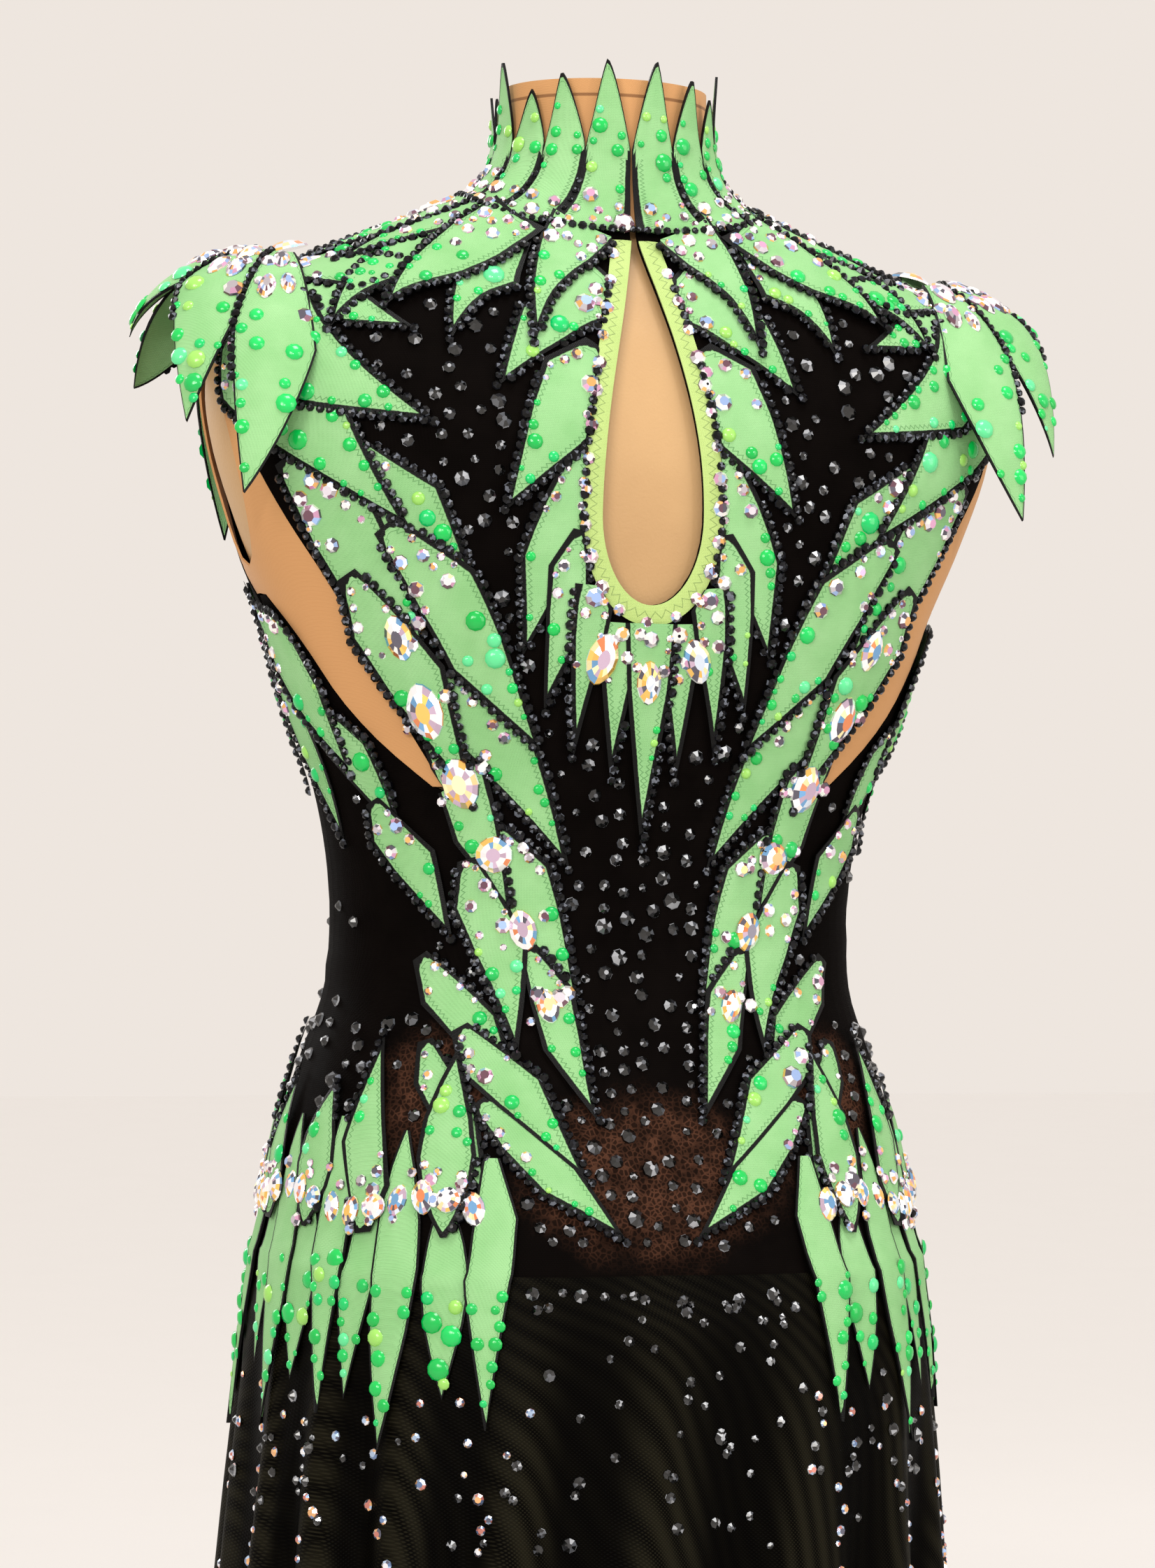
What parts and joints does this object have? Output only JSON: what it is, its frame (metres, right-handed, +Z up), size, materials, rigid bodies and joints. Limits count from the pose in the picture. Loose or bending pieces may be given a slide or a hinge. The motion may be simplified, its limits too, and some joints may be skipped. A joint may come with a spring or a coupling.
{
  "type": "figure skating dress on a dress form",
  "caption": "Sleeveless black skating dress with green leaf pieces, a keyhole back, mesh side cut-outs and a short fluted skirt, worn by a limbless dress form on a stand.",
  "frame": {"origin": "centre of the stand's underside, on the floor", "axes": "+Z up; the dress's back, with its keyhole, faces -Y and its front faces +Y; +X is the wearer's right"},
  "size_m": [0.4406, 0.3477, 1.4252],
  "materials": {
    "black_cloth": "matt black stretch knit",
    "black_mesh": "matt black fine mesh, slightly sheer",
    "green_cloth": "mint green stretch knit with black edges",
    "lime_tape": "lime stretch tape, zigzag stitched",
    "nude_mesh": "tan power mesh",
    "form_skin": "satin skin-tone plastic",
    "stand_steel": "satin",
    "crystal": "cut and backed"
  },
  "bodies": {
    "root": {"bodice_back": "black_cloth", "bodice_front": "black_cloth", "brief": "black_cloth", "cap_left_1": "green_cloth", "cap_left_2": "green_cloth", "cap_left_3": "green_cloth", "cap_left_4": "green_cloth", "cap_left_5": "green_cloth", "cap_right_1": "green_cloth", "cap_right_2": "green_cloth", "cap_right_3": "green_cloth", "cap_right_4": "green_cloth", "cap_right_5": "green_cloth", "collar_left": "green_cloth", "collar_right": "green_cloth", "form_torso": "form_skin", "hip_leaf_01": "green_cloth", "hip_leaf_02": "green_cloth", "hip_leaf_03": "green_cloth", "hip_leaf_04": "green_cloth", "hip_leaf_05": "green_cloth", "hip_leaf_06": "green_cloth", "hip_leaf_07": "green_cloth", "hip_leaf_08": "green_cloth", "hip_leaf_09": "green_cloth", "hip_leaf_10": "green_cloth", "hip_leaf_11": "green_cloth", "hip_leaf_12": "green_cloth", "hip_leaf_13": "green_cloth", "hip_leaf_14": "green_cloth", "hip_leaf_15": "green_cloth", "hip_leaf_16": "green_cloth", "hip_leaf_17": "green_cloth", "hip_leaf_18": "green_cloth", "hip_leaf_19": "green_cloth", "hip_leaf_20": "green_cloth", "keyhole_binding": "lime_tape", "mesh_collar": "nude_mesh", "mesh_side_left": "nude_mesh", "mesh_side_right": "nude_mesh", "neck_button": "crystal", "skirt": "black_mesh", "stand_base": "stand_steel", "stand_pole": "stand_steel", "stone_left_1": "crystal", "stone_left_2": "crystal", "stone_left_3": "crystal", "stone_left_4": "crystal", "stone_left_5": "crystal", "stone_left_6": "crystal", "stone_left_7": "crystal", "stone_right_1": "crystal", "stone_right_2": "crystal", "stone_right_3": "crystal", "stone_right_4": "crystal", "stone_right_5": "crystal", "stone_right_6": "crystal", "stone_right_7": "crystal"}
  },
  "joints": []
}
